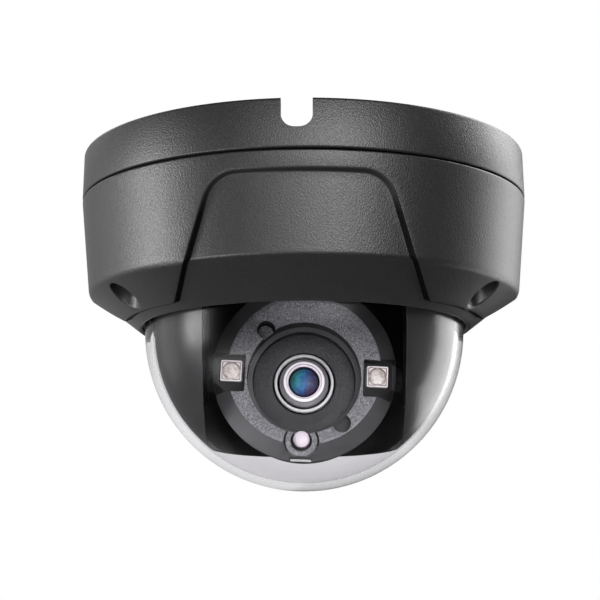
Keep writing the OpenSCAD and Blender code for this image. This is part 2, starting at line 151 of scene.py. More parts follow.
def rounded(points, radii, steps=6):
    """The polyline through points, with each inner corner rounded by its radius."""
    points = [np.array(p, float) for p in points]
    out = [points[0]]
    for a, b, c, r in zip(points, points[1:], points[2:], radii):
        if r <= 0:
            out.append(b)
            continue
        u, v = unit(a - b), unit(c - b)
        half = math.acos(np.clip(u @ v, -1, 1)) / 2
        mid = b + unit(u + v) * r / math.sin(half)
        s, e = b + u * r / math.tan(half) - mid, b + v * r / math.tan(half) - mid
        a0 = math.atan2(s[1], s[0])
        da = (math.atan2(e[1], e[0]) - a0 + 3 * math.pi) % (2 * math.pi) - math.pi
        for k in range(steps + 1):
            ang = a0 + da * k / steps
            out.append(mid + r * np.array([math.cos(ang), math.sin(ang)]))
    out.append(points[-1])
    return out


def rounded_loop(points, radii, steps=6):
    """A closed outline with rounded corners."""
    ring = [points[-1]] + list(points) + [points[0]]
    return rounded(ring, radii, steps)[1:-1]


def densify(points, step):
    """Adds points so that no stretch is longer than step."""
    out = [np.array(points[0], float)]
    for p in points[1:]:
        p = np.array(p, float)
        n = max(1, int(math.ceil(np.linalg.norm(p - out[-1]) / step)))
        start = out[-1]
        out += [start + (p - start) * k / n for k in range(1, n + 1)]
    return out


def spot(r, z, az):
    """The point at radius r and azimuth az, counted from the front."""
    return (r * math.sin(az), -r * math.cos(az), z)


class Shape:
    """Collects vertices and faces in millimetres, then becomes one Blender object."""

    def __init__(self):
        self.verts, self.faces, self.mats = [], [], []

    def add(self, verts, faces, mat=0, place=None):
        start = len(self.verts)
        for v in verts:
            v = Vector(v)
            self.verts.append(place @ v if place is not None else v)
        self.faces += [[start + i for i in f] for f in faces]
        self.mats += [mat] * len(faces)

    def lathe(self, outline, steps=192, closed=True, mat=0, place=None):
        """Turns an outline of (radius, height) points about Z."""
        a = [math.radians(360 * k / steps) for k in range(steps)]
        verts = [spot(r, z, ang) for r, z in outline for ang in a]
        rows = len(outline)
        faces = []
        for i in range(rows if closed else rows - 1):
            j = (i + 1) % rows
            for k in range(steps):
                m = (k + 1) % steps
                faces.append((i * steps + k, i * steps + m, j * steps + m, j * steps + k))
        self.add(verts, faces, mat, place)

    def rings(self, loops, mat=0, place=None, cap_first=False, cap_last=False):
        """Joins closed loops of the same number of points into one skin."""
        n = len(loops[0])
        verts = [v for loop in loops for v in loop]
        faces = []
        for i in range(len(loops) - 1):
            for k in range(n):
                m = (k + 1) % n
                faces.append((i * n + k, i * n + m, (i + 1) * n + m, (i + 1) * n + k))
        if cap_first:
            faces.append(tuple(range(n - 1, -1, -1)))
        if cap_last:
            faces.append(tuple((len(loops) - 1) * n + k for k in range(n)))
        self.add(verts, faces, mat, place)

    def build(self, name, materials=(), sharp=32, weld=1e-4):
        mesh = bpy.data.meshes.new(name)
        mesh.from_pydata([v * MM for v in self.verts], [], self.faces)
        for m in materials:
            mesh.materials.append(m)
        mesh.polygons.foreach_set("material_index", self.mats)
        bm = bmesh.new()
        bm.from_mesh(mesh)
        bmesh.ops.remove_doubles(bm, verts=bm.verts, dist=weld * MM)
        bmesh.ops.dissolve_degenerate(bm, edges=bm.edges, dist=weld * MM)
        bmesh.ops.recalc_face_normals(bm, faces=bm.faces)
        bm.to_mesh(mesh)
        bm.free()
        return finish_mesh(mesh, name, sharp)


def finish_mesh(mesh, name, sharp):
    mesh.polygons.foreach_set("use_smooth", [True] * len(mesh.polygons))
    mesh.set_sharp_from_angle(angle=math.radians(sharp))
    obj = bpy.data.objects.new(name, mesh)
    bpy.context.scene.collection.objects.link(obj)
    return obj


def cylinder(r, low, high, centre=(0, 0), place=None, steps=64, name="cutter"):
    """A closed cylinder, turned a little so that no vertex meets one of a lathed part."""
    s = Shape()
    angles = [2 * math.pi * (k + CUTTER_TURN) / steps for k in range(steps)]
    ring = [(centre[0] + r * math.cos(a), centre[1] + r * math.sin(a)) for a in angles]
    s.rings([[(x, y, low) for x, y in ring], [(x, y, high) for x, y in ring]],
            place=place, cap_first=True, cap_last=True)
    return s.build(name)


def prism(outline, low, high, place=None, name="cutter"):
    """A closed 2D outline pushed from low to high along Z."""
    s = Shape()
    s.rings([[(x, y, low) for x, y in outline], [(x, y, high) for x, y in outline]],
            place=place, cap_first=True, cap_last=True)
    return s.build(name)


def rectangle(w, h, centre=(0, 0), r=0.0):
    x, y = centre
    pts = [(x - w / 2, y - h / 2), (x + w / 2, y - h / 2), (x + w / 2, y + h / 2),
           (x - w / 2, y + h / 2)]
    return rounded_loop(pts, [r] * 4, 4) if r > 0 else pts


def cut(obj, cutters, operation="DIFFERENCE"):
    """Takes the cutters out of obj, or adds them to it, and removes them."""
    for c in cutters:
        mod = obj.modifiers.new("cut", "BOOLEAN")
        mod.operation, mod.solver, mod.object = operation, "EXACT", c
        apply_modifiers(obj)
        bpy.data.objects.remove(c)
    return obj


def apply_modifiers(obj):
    deps = bpy.context.evaluated_depsgraph_get()
    mesh = bpy.data.meshes.new_from_object(obj.evaluated_get(deps))
    obj.modifiers.clear()
    obj.data = mesh


def smooth(obj, sharp):
    """Smooth shading, broken at edges sharper than the given angle."""
    obj.data.polygons.foreach_set("use_smooth", [True] * len(obj.data.polygons))
    obj.data.set_sharp_from_angle(angle=math.radians(sharp))
    return obj


def soften(obj, width, segments, angle, sharp):
    """Rounds the edges of obj that are sharper than angle."""
    mod = obj.modifiers.new("bevel", "BEVEL")
    mod.width, mod.segments = width * MM, segments
    mod.limit_method, mod.angle_limit = "ANGLE", math.radians(angle)
    mod.use_clamp_overlap = True
    apply_modifiers(obj)
    return smooth(obj, sharp)


# ---------------------------------------------------------------- materials
class Nodes:
    """A short way to write a procedural material around one Principled shader."""

    def __init__(self, name):
        self.mat = bpy.data.materials.new(name)
        self.mat.use_nodes = True
        self.tree = self.mat.node_tree
        self.shader = self.tree.nodes["Principled BSDF"]
        self.output = self.tree.nodes["Material Output"]
        self.coord = self.node("ShaderNodeTexCoord").outputs["Object"]

    def node(self, kind, **inputs):
        n = self.tree.nodes.new(kind)
        for key, value in inputs.items():
            self.set(n.inputs[key.replace("_", " ")], value)
        return n

    def set(self, socket, value):
        if isinstance(value, bpy.types.NodeSocket):
            self.tree.links.new(value, socket)
        else:
            socket.default_value = value

    def put(self, **inputs):
        for key, value in inputs.items():
            self.set(self.shader.inputs[key.replace("_", " ")], value)
        return self

    def noise(self, size, detail=3.0, rough=0.55, coord=None, distort=0.0):
        """Noise whose features are about size millimetres wide."""
        n = self.node("ShaderNodeTexNoise", Vector=coord or self.coord, Scale=1 / (size * MM),
                      Detail=detail, Roughness=rough, Distortion=distort)
        return n.outputs["Fac"]

    def cells(self, size, feature="F1", smooth=0.6, coord=None):
        """Rounded cells about size millimetres wide."""
        n = self.node("ShaderNodeTexVoronoi")
        n.feature = feature
        self.set(n.inputs["Vector"], coord or self.coord)
        self.set(n.inputs["Scale"], 1 / (size * MM))
        self.set(n.inputs["Randomness"], 1.0)
        if feature == "SMOOTH_F1":
            self.set(n.inputs["Smoothness"], smooth)
        return n.outputs["Distance"]

    def ramp(self, value, stops, ease="LINEAR"):
        n = self.node("ShaderNodeValToRGB", Fac=value)
        n.color_ramp.interpolation = ease
        while len(n.color_ramp.elements) < len(stops):
            n.color_ramp.elements.new(0.5)
        for e, (pos, colour) in zip(n.color_ramp.elements, stops):
            e.position = pos
            e.color = colour if len(colour) == 4 else (*colour, 1)
        return n.outputs["Color"]

    def span(self, value, low, high, a=0.0, b=1.0):
        n = self.node("ShaderNodeMapRange", Value=value)
        self.set(n.inputs["From Min"], a)
        self.set(n.inputs["From Max"], b)
        self.set(n.inputs["To Min"], low)
        self.set(n.inputs["To Max"], high)
        return n.outputs["Result"]

    def math(self, operation, a, b=0.0):
        n = self.node("ShaderNodeMath")
        n.operation = operation
        self.set(n.inputs[0], a)
        self.set(n.inputs[1], b)
        return n.outputs[0]

    def bump(self, height, distance):
        """Bump whose height of 0 to 1 stands for distance millimetres."""
        n = self.node("ShaderNodeBump", Height=height, Strength=1.0, Distance=distance * MM)
        self.set(self.shader.inputs["Normal"], n.outputs["Normal"])
        return self


def grey(v, tint=0.0):
    return (v, v, v * (1 + tint), 1)


def plastic(name, a, b, rough=(0.4, 0.5), grain=0.5, depth=0.01, size=6.0, **more):
    """Moulded plastic or paint: colour and roughness drift slowly, with a fine grain."""
    m = Nodes(name)
    drift = m.noise(size, 2)
    m.put(Base_Color=m.ramp(drift, [(0.3, a), (0.7, b)]),
          Roughness=m.span(m.noise(size * 0.4, 3), *rough), **more)
    m.bump(m.noise(grain, 3), depth)
    return m.mat


def metal(name, a, b, rough=(0.2, 0.35), grain=0.4, depth=0.004):
    """Turned or plated metal with slightly uneven roughness."""
    m = Nodes(name)
    m.put(Base_Color=m.ramp(m.noise(4, 3), [(0.3, a), (0.7, b)]),
          Roughness=m.span(m.noise(1.2, 4), *rough), Metallic=1.0)
    m.bump(m.noise(grain, 2), depth)
    return m.mat


def body_paint():
    """Dark grey powder coat with a fine leathery grain."""
    m = Nodes("body_paint")
    warp = m.node("ShaderNodeMapping", Vector=m.coord)
    warp.inputs["Scale"].default_value = (1.0, 1.0, 0.8)
    stretched = warp.outputs["Vector"]
    pebbles = m.cells(0.36, "SMOOTH_F1", 0.45, stretched)
    creases = m.noise(0.22, 4, 0.6, stretched, 0.3)
    height = m.math("ADD", m.math("MULTIPLY", pebbles, 0.7), m.math("MULTIPLY", creases, 0.6))
    shade = m.noise(0.7, 4, 0.65)
    m.put(Base_Color=m.ramp(shade, [(0.25, grey(0.006)), (0.55, grey(0.009)), (0.8, grey(0.013))]),
          Roughness=m.span(m.noise(0.8, 4), 0.34, 0.46))
    m.put(Specular_IOR_Level=0.5)
    m.bump(height, 0.05)
    return m.mat


def painted_seam_shade():
    """Painted shade on the bare wall of the low areas' edge: as the paint at the top, black further
    down.
    """
    m = Nodes("painted_seam_shade")
    height = m.node("ShaderNodeSeparateXYZ", Vector=m.coord).outputs["Z"]
    up = m.span(height, 0.0, 1.0, (PANEL_TOP - 9) * MM, (PANEL_TOP - 1) * MM)
    m.put(Base_Color=m.ramp(up, [(0.0, grey(0.001)), (0.45, grey(0.002)), (1.0, grey(0.007))]),
          Specular_IOR_Level=m.span(up, 0.06, 0.4), Roughness=m.span(m.noise(2, 3), 0.5, 0.65))
    m.bump(m.noise(0.3, 3), 0.01)
    return m.mat


def clear_dome(name, painted_sheen):
    """Polished polycarbonate. Lamps shine through it, so that what is inside is lit. When asked, the
    coat's weight is painted by place, strong at the far left, the far right and the bottom and weak over
    the middle, as a painted reflection.
    """
    m = Nodes(name)
    m.put(Base_Color=(0.835, 0.825, 0.845, 1), IOR=1.02, Transmission_Weight=1.0,
          Roughness=m.span(m.noise(30, 2), 0.0, 0.004))
    if painted_sheen:
        # painted reflection: how strongly the coat reflects is set by place on the dome, not by the
        # angle of view
        part = m.node("ShaderNodeSeparateXYZ", Vector=m.coord)
        side = m.span(part.outputs["X"], 0.0, 1.0, -0.04, 0.04)
        painted_sheen = m.ramp(side, [(0.03, grey(0.9)), (0.10, grey(0.45)), (0.18, grey(0.22)),
                              (0.30, grey(0.10)), (0.72, grey(0.12)), (0.88, grey(1.0))])
        middle = (DOME_LOW + DOME_R) * MM
        low = m.span(part.outputs["Z"], 0.0, 1.0, middle - 0.6 * DOME_R * MM,
                     middle - 0.85 * DOME_R * MM)
        m.put(Coat_Weight=m.math("MAXIMUM", painted_sheen, low), Coat_IOR=1.5, Coat_Roughness=0.22)
    path = m.node("ShaderNodeLightPath").outputs["Is Shadow Ray"]
    through = m.node("ShaderNodeBsdfTransparent", Color=(0.97, 0.965, 0.975, 1))
    mix = m.node("ShaderNodeMixShader", Fac=path)
    m.tree.links.new(m.shader.outputs[0], mix.inputs[1])
    m.tree.links.new(through.outputs[0], mix.inputs[2])
    m.tree.links.new(mix.outputs[0], m.output.inputs["Surface"])
    return m.mat


def bezel_texture(name, base, size, depth, rough=(0.5, 0.68)):
    """Spark-eroded plastic: a dense, fine, matt speckle."""
    m = Nodes(name)
    fine = m.noise(size, 2, 0.7)
    pits = m.cells(size * 1.1, "F1")
    height = m.math("ADD", m.math("MULTIPLY", fine, 0.8), m.math("MULTIPLY", pits, 0.4))
    lift = m.ramp(fine, [(0.34, grey(base * 0.4, 0.05)), (0.5, grey(base, 0.05)),
                         (0.66, grey(base * 2.0, 0.06))])
    m.put(Base_Color=lift, Roughness=m.span(m.noise(size * 2, 3), *rough))
    m.bump(height, depth)
    return m.mat


def painted_lens_reflections():
    """The coated front element with painted reflections: soft arcs of teal, blue, green and violet set
    by place, and painted light and dark rings, dark at the rim.
    """
    m = Nodes("painted_lens_reflections")
    local = m.node("ShaderNodeVectorMath", Vector=m.coord)
    local.operation = "SUBTRACT"
    local.inputs[1].default_value = LENS_FRONT
    length = m.node("ShaderNodeVectorMath")
    length.operation = "LENGTH"
    m.set(length.inputs[0], local.outputs[0])
    radius = m.math("DIVIDE", length.outputs["Value"], 3.8 * MM)
    part = m.node("ShaderNodeSeparateXYZ", Vector=local.outputs[0])
    across = m.math("DIVIDE", part.outputs["X"], 3.8 * MM)
    up = m.math("DIVIDE", part.outputs["Z"], 3.8 * MM)
    swirl = m.noise(1.7, 2, 0.5, local.outputs[0], 1.2)
    # painted reflection: the coating's colours are laid over the glass by place, not by the angle of
    # view
    turn = m.math("ADD", m.math("MULTIPLY", across, -0.28), m.math("MULTIPLY", up, 0.12))
    drift = m.math("MULTIPLY", m.math("SUBTRACT", swirl, 0.5), 0.5)
    hue = m.math("ADD", m.math("ADD", turn, 0.42), drift)
    tint = m.ramp(hue, [(0.05, (0.100, 0.030, 0.080)), (0.25, (0.035, 0.030, 0.085)),
                        (0.42, (0.020, 0.095, 0.270)), (0.56, (0.025, 0.210, 0.280)),
                        (0.70, (0.030, 0.170, 0.105)), (0.9, (0.060, 0.110, 0.200))], "EASE")
    # painted light and shade: bright and dark rings across the glass, near black at the rim
    rim = m.ramp(radius, [(0.0, (0.9, 0.9, 0.9)), (0.55, (1, 1, 1)), (0.72, (0.5, 0.42, 0.5)),
                          (0.80, (0.9, 0.8, 0.9)), (0.88, (0.25, 0.2, 0.25)), (1.0, (0.05, 0.05, 0.05))])
    mix = m.node("ShaderNodeMix")
    mix.data_type, mix.blend_type = "RGBA", "MULTIPLY"
    mix.inputs["Factor"].default_value = 1.0
    m.set(mix.inputs["A"], tint)
    m.set(mix.inputs["B"], rim)
    m.put(Base_Color=mix.outputs["Result"], Roughness=m.span(m.noise(1.0, 2), 0.45, 0.55),
          Coat_Weight=0.3, Coat_Roughness=0.25, Coat_IOR=1.4)
    return m.mat


HEAD_Z = Vector(JOINT["roll"]["axis"]).normalized()
HEAD_X = -Vector(JOINT["filter_shift"]["axis"]).normalized()
HEAD_Y = HEAD_Z.cross(HEAD_X)
TILT = Vector(JOINT["tilt"]["pos_m"]) / MM
HEAD = Matrix.Translation(TILT) @ Matrix((HEAD_X, HEAD_Y, HEAD_Z)).transposed().to_4x4()
LENS_AXIS = Vector(JOINT["lens_focus"]["pos_m"]) / MM
LENS = Matrix.Translation(LENS_AXIS) @ Matrix((HEAD_X, HEAD_Y, HEAD_Z)).transposed().to_4x4()
LENS_DROP = (TILT - LENS_AXIS).length
LENS_FRONT = tuple((LENS @ Vector((0, 0, 6.9))) * MM)

PAINT = body_paint()
SEAM_SHADE = painted_seam_shade()
MATERIALS = {
    "body_paint": PAINT,
    "clear_dome": clear_dome("clear_dome", True),
    "rubber": plastic("rubber", grey(0.006), grey(0.012), (0.5, 0.7), 0.3, 0.02),
    "zinc_steel": metal("zinc_steel", grey(0.50, 0.03), grey(0.62, 0.05), (0.28, 0.42)),
    "bright_screws": metal("bright_screws", grey(0.66, 0.02), grey(0.75, 0.02), (0.18, 0.3)),
    "black_steel": metal("black_steel", grey(0.02), grey(0.035), (0.3, 0.45)),
    "black_gloss": plastic("black_gloss", grey(0.016), grey(0.022), (0.26, 0.34), 4.0, 0.01),
    "black_plastic": plastic("black_plastic", grey(0.016), grey(0.024), (0.35, 0.5), 0.4, 0.01),
    "textured_bezel": bezel_texture("textured_bezel", 0.14, 0.32, 0.05),
    "board_white": plastic("board_white", grey(0.84), grey(0.90), (0.35, 0.5), 0.8, 0.01),
    "circuit_board": plastic("circuit_board", (0.01, 0.07, 0.03, 1), (0.015, 0.10, 0.045, 1),
                             (0.25, 0.4), 0.8, 0.01),
    "lamp_body": plastic("lamp_body", (0.80, 0.70, 0.68, 1), (0.90, 0.84, 0.82, 1), (0.1, 0.2)),
    "sensor_window": plastic("sensor_window", (0.68, 0.60, 0.67, 1), (0.78, 0.71, 0.77, 1),
                             (0.2, 0.3)),
    "copper_coil": metal("copper_coil", (0.45, 0.18, 0.06, 1), (0.62, 0.28, 0.10, 1), (0.3, 0.5),
                         0.25, 0.06),
    "chip_black": plastic("chip_black", grey(0.012), grey(0.02), (0.45, 0.6), 0.2, 0.01),
    "connector_ivory": plastic("connector_ivory", (0.62, 0.58, 0.48, 1), (0.70, 0.66, 0.56, 1)),
    "thermal_grey": plastic("thermal_grey", (0.20, 0.27, 0.34, 1), (0.24, 0.31, 0.38, 1),
                            (0.6, 0.8), 0.4, 0.03),
    "lens_black": metal("lens_black", grey(0.015), grey(0.03), (0.25, 0.4)),
    "lens_silver": plastic("lens_silver", grey(0.55, 0.01), grey(0.62, 0.01), (0.25, 0.35), 0.15,
                           0.002, 1.0),
    "lens_glass": painted_lens_reflections(),
    "filter_cyan": plastic("filter_cyan", (0.10, 0.35, 0.40, 1), (0.14, 0.42, 0.46, 1),
                           (0.03, 0.08)),
    "filter_clear": plastic("filter_clear", (0.60, 0.64, 0.64, 1), (0.70, 0.74, 0.74, 1),
                            (0.03, 0.08)),
}
SMOOTH_BEZEL = plastic("smooth_bezel", grey(0.045, 0.04), grey(0.055, 0.04), (0.40, 0.50), 0.5,
                       0.006)
# near-black plastic painted on the bezel's hollows as shade
RECESS_SHADE = plastic("recess_shade_paint", grey(0.004), grey(0.008), (0.5, 0.65))
FINE_BEZEL = bezel_texture("fine_bezel", 0.030, 0.30, 0.02, (0.5, 0.65))

for node, obj in NODES.items():
    obj.data.materials.clear()
    obj.data.materials.append(MATERIALS[SLOT[node]])


def piece(obj, node, *materials):
    """Gives a finished piece the place of a CAD node, on that node's body."""
    if materials:
        obj.data.materials.clear()
        for m in materials:
            obj.data.materials.append(m)
    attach(obj, BODY[node])
    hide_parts(node)
    return obj


BODY = {n: b for b, names in frame["record"]["behaviour"]["bodies"].items() for n in names}


# ---------------------------------------------------------------- trim cover
def cone_z(r, d):
    """Height of the cone at radius r, d inside the raised lugs."""
    return LIP_Z + (r - LIP_R) * math.tan(CONE_A) - (PANEL_DEPTH - d) / math.cos(CONE_A)


REF_R = 54.0          # radius at which a column's place is counted
SECTOR = math.radians(120)
COLUMNS = 72          # in one sector
SKIN_END = 42.4       # radius on the cone where the plain lip begins


class Skin:
    """The raised outer skin as a path: distance t along it gives radius, height and normal."""

    def __init__(self):
        corner = (EDGE_R, cone_z(EDGE_R, 0))
        foot_r = SKIN_END + PANEL_DEPTH * math.sin(CONE_A)
        raw = [(BODY_R - 0.5, COVER_TOP), (BODY_R, COVER_TOP), corner, (foot_r, cone_z(foot_r, 0))]
        bend = rounded(raw, [0.45, EDGE_ROUND], 10)
        self.bend_t = np.concatenate([[0], np.cumsum([np.linalg.norm(b - a) for a, b in
                                                      zip(bend, bend[1:])])])
        self.path = np.array(densify(bend, 0.05))
        step = np.linalg.norm(np.diff(self.path, axis=0), axis=1)
        self.t = np.concatenate([[0], np.cumsum(step)])
        d = np.gradient(self.path, self.t, axis=0)
        self.normal = np.stack([-d[:, 1], d[:, 0]], 1)
        self.normal /= np.linalg.norm(self.normal, axis=1)[:, None]
        self.end = self.t[-1]

    def at(self, t, depth=0.0):
        r, z = np.interp(t, self.t, self.path[:, 0]), np.interp(t, self.t, self.path[:, 1])
        nr = np.interp(t, self.t, self.normal[:, 0])
        nz = np.interp(t, self.t, self.normal[:, 1])
        return r - nr * depth, z - nz * depth

    def t_of_z(self, z):
        return float(np.interp(-z, -self.path[:, 1], self.t))

    def t_of_r(self, r):
        """Distance along the path at radius r, for radii on the cone."""
        lower = self.path[:, 0] < EDGE_R
        return float(np.interp(-r, -self.path[lower, 0], self.t[lower]))


SKIN = Skin()


def panel_side(wider):
    """One side of a low area, from the middle of its top to the middle of the next screw lug."""
    edge_z = cone_z(EDGE_R, 0)
    top_w, low_w = PANEL_TOP_W + wider, PANEL_LOW_W + wider
    slope = (low_w - top_w) / (PANEL_TOP - edge_z)
    low_t = SKIN.t_of_r(LUG_FOOT)
    foot_z = float(SKIN.at(low_t)[1])
    foot_w = low_w - 0.4 * wider + 1.6 * slope * (edge_z - foot_z)
    seen = rounded([(0, PANEL_TOP), (top_w, PANEL_TOP), (low_w, edge_z), (foot_w, foot_z)],
                   [PANEL_ROUND, 8.0], 14)
    side = []
    for x, z in densify(seen, 0.4):
        t = SKIN.t_of_z(z)
        if t < low_t - 3.0:
            side.append((REF_R * math.asin(x / SKIN.at(t)[0]), t))
    corner = (REF_R * math.asin(foot_w / LUG_FOOT), low_t)
    return side + rounded([side[-1], corner, (SECTOR * REF_R / 2, low_t)], [3.0], 10)[1:]


def panel_outline():
    """Edge of the low areas across one sector, whose middle is a screw lug: (column, t)."""
    first, second = panel_side(-0.3), panel_side(1.4)
    mirrored = [(SECTOR * REF_R - p[0], p[1]) for p in reversed(second[:-1])]
    return densify(first + mirrored, 0.45)


def step_section():
    """Cross-section of the step down into a panel: (distance across, depth)."""
    wall = rounded([(-1.5, 0), (0, 0), (0.5, PANEL_DEPTH), (2, PANEL_DEPTH)], [0.7, 0.5], 5)
    return [tuple(p) for p in wall[1:-1]]


def shifted(path, across):
    """The path moved sideways over the skin, across millimetres towards the low area."""
    path = np.array(path)
    d = np.gradient(path, axis=0)
    ratio = SKIN.at(path[:, 1])[0] / REF_R
    du, dt = d[:, 0] * ratio, d[:, 1]
    size = np.hypot(du, dt)
    nu, nt = -dt / size, du / size
    return np.stack([path[:, 0] + across * nu / ratio, path[:, 1] + across * nt], 1)


def inside(points, loop):
    """Which of the points lie inside a closed loop."""
    x, y = points[:, 0], points[:, 1]
    result = np.zeros(len(points), bool)
    for (x0, y0), (x1, y1) in zip(loop, np.roll(loop, -1, axis=0)):
        if y0 == y1:
            continue
        crosses = (y0 > y) != (y1 > y)
        at = x0 + (y - y0) * (x1 - x0) / (y1 - y0)
        result ^= crosses & (x < at)
    return result


def around_screw(r):
    """Radius and azimuth of each point of a circle around the front screw lug's axis."""
    for k in range(WELL_STEPS):
        a = 2 * math.pi * k / WELL_STEPS
        x, y = r * math.sin(a), SCREW_R + r * math.cos(a)
        yield math.hypot(x, y), math.atan2(x, y)


def well_ring(r):
    """A loop around a screw well on the raised cone, in a sector's (column, t)."""
    return [(SECTOR * REF_R / 2 + REF_R * az, SKIN.t_of_r(rr)) for rr, az in around_screw(r)]


def on_skin(a, r, lift):
    """A loop around the screw axis at azimuth a, lift above the skin."""
    return [spot(rr, float(SKIN.at(SKIN.t_of_r(rr))[1]) + lift, az + a)
            for rr, az in around_screw(r)]


def cover_sector():
    """One third of the outer skin as a flat mesh: points (column, t), depths and triangles."""
    outline = panel_outline()
    width, end = SECTOR * REF_R, SKIN.end
    strips = [(shifted(outline, w), depth) for w, depth in step_section()]
    for s, _ in strips:
        s[0, 0], s[-1, 0] = 0, width
    low_side = np.array([(-1, outline[0][1])] + [tuple(p) for p in outline] +
                        [(width + 1, outline[0][1]), (width + 1, end + 1), (-1, end + 1)])
    holes = [well_ring(WELL_R + 0.45), well_ring(WELL_R + 0.9)]
    columns = np.linspace(0, width, COLUMNS + 1)
    straight = np.arange(SKIN.bend_t[11], SKIN.bend_t[12], 1.25)
    cone = np.arange(SKIN.bend_t[-2], end, 1.1)
    rows = np.concatenate([SKIN.bend_t[:12], straight[1:], SKIN.bend_t[12:23], cone[1:-1], [end]])
    rows = np.unique(np.round(rows, 5))
    verts, depths, edges = [], [], []
    for s, depth in strips:
        first = len(verts)
        verts += [tuple(p) for p in s]
        depths += [depth] * len(s)
        edges += [(first + k, first + k + 1) for k in range(len(s) - 1)]
    for ring in holes:
        first = len(verts)
        verts += ring
        depths += [0.0] * len(ring)
        edges += [(first + k, first + (k + 1) % len(ring)) for k in range(len(ring))]
    grid = np.array([(u, t) for t in rows for u in columns])
    near = np.array(densify(outline, 0.3))
    ratio = SKIN.at(grid[:, 1])[0] / REF_R
    gap = np.full(len(grid), 99.0)
    for p in near:
        gap = np.minimum(gap, np.hypot((grid[:, 0] - p[0]) * ratio, grid[:, 1] - p[1]))
    centre = np.array([width / 2, SKIN.t_of_r(SCREW_R)])
    from_hole = np.hypot((grid[:, 0] - centre[0]) * ratio, (grid[:, 1] - centre[1]))
    keep = (gap > 1.3) & (from_hole > 5.4)
    low = inside(grid, low_side)
    for p, is_low in zip(grid[keep], low[keep]):
        verts.append(tuple(p))
        depths.append(PANEL_DEPTH if is_low else 0.0)
    out = delaunay_2d_cdt([Vector(v) for v in verts], edges, [], 0, 1e-5)
    points = np.array([tuple(v) for v in out[0]])
    value = [depths[sources[0]] if sources else 0.0 for sources in out[3]]
    hole_r = WELL_R + 0.44
    faces = []
    for f in out[2]:
        c = points[list(f)].mean(axis=0)
        r, az = SKIN.at(c[1])[0], c[0] / REF_R - SECTOR / 2
        if math.hypot(r * math.sin(az), r * math.cos(az) - SCREW_R) > hole_r:
            faces.append(tuple(f))
    return points, value, faces


def in_wall(a, r, z):
    """A loop around a screw axis, kept inside the wall; without a height it follows the skin."""
    loop = []
    for rr, az in around_screw(r):
        rr = min(rr, WALL_IN_TOP - 0.4)
        height = float(SKIN.at(SKIN.t_of_r(rr))[1]) + 0.9 if z is None else z
        loop.append(spot(rr, height, az + a))
    return loop


def trim_cover():
    shape = Shape()
    points, depth, faces = cover_sector()
    for k in range(3):
        verts = []
        for (u, t), d in zip(points, depth):
            r, z = SKIN.at(t, d)
            verts.append(spot(float(r), float(z), u / REF_R + k * SECTOR))
        # faces on the step walls get material 1, the painted seam shade
        wall = {f: 0.04 < sum(depth[i] for i in f) / len(f) < PANEL_DEPTH - 0.02
                for f in map(tuple, faces)}
        shape.add(verts, [f for f in wall if not wall[f]])
        shape.add(verts, [f for f in wall if wall[f]], 1)
    end_r, end_z = (float(v) for v in SKIN.at(SKIN.end, PANEL_DEPTH))
    inner = rounded([(LEDGE_R, LEDGE_Z), (LEDGE_R, cone_z(LEDGE_R, PANEL_DEPTH) + SHELL_UP),
                     (WALL_IN_EDGE, cone_z(WALL_IN_EDGE, PANEL_DEPTH) + SHELL_UP),
                     (WALL_IN_TOP, COVER_TOP)], [0, 1.5], 4)
    lip = rounded([(end_r, end_z), (LIP_R, LIP_Z), (LIP_IN, LIP_Z + 0.25), (LIP_IN, LEDGE_Z)],
                  [0.35, 0.3], 4)
    profile = lip + inner + [(BODY_R - 0.5, COVER_TOP)]
    shape.lathe(profile, 3 * COLUMNS, closed=False)
    for az in SCREW_AZ:
        a = math.radians(az)
        spin = Matrix.Rotation(a, 4, "Z") @ Matrix.Translation((0, -SCREW_R, 0))
        mouth = [on_skin(a, WELL_R + wider, lift) for wider, lift in
                 ((0.45, 0), (0.28, 0.03), (0.12, 0.14), (0.03, 0.3), (0, 0.5))]
        # the mouth's loops run the other way round the well, so the wall follows them
        wall = [[Vector((*Vector(p).xy, SEAT_Z)) for p in mouth[-1]]]
        shape.rings(mouth + wall)
        shape.lathe([(SCREW_HOLE_R, SEAT_Z), (WELL_R, SEAT_Z)], WELL_STEPS, closed=False, place=spin)
        shape.rings([in_wall(a, SCREW_HOLE_R, TUBE_TOP), in_wall(a, 4.6, TUBE_TOP),
                     in_wall(a, 4.8, TUBE_TOP - 0.2), in_wall(a, 4.8, None),
                     in_wall(a, WELL_R + 0.6, None)])
        shape.lathe([(SCREW_HOLE_R, TUBE_TOP), (SCREW_HOLE_R, SEAT_Z)], WELL_STEPS, closed=False,
                    place=spin)
    for az in PANEL_AZ:
        spin = Matrix.Rotation(math.radians(az), 4, "Z") @ Matrix.Translation((0, -CLAMP_R, 0))
        shape.lathe([(CLAMP_HOLE_R, CLAMP_TOP), (CLAMP_BOSS_R, CLAMP_TOP), (CLAMP_BOSS_R, CLAMP_LOW),
                     (CLAMP_HOLE_R, CLAMP_LOW)], 32, place=spin)
    return piece(shape.build("trim_cover_shell", [PAINT, SEAM_SHADE], 38, 2e-3), "trim_cover")


trim_cover()


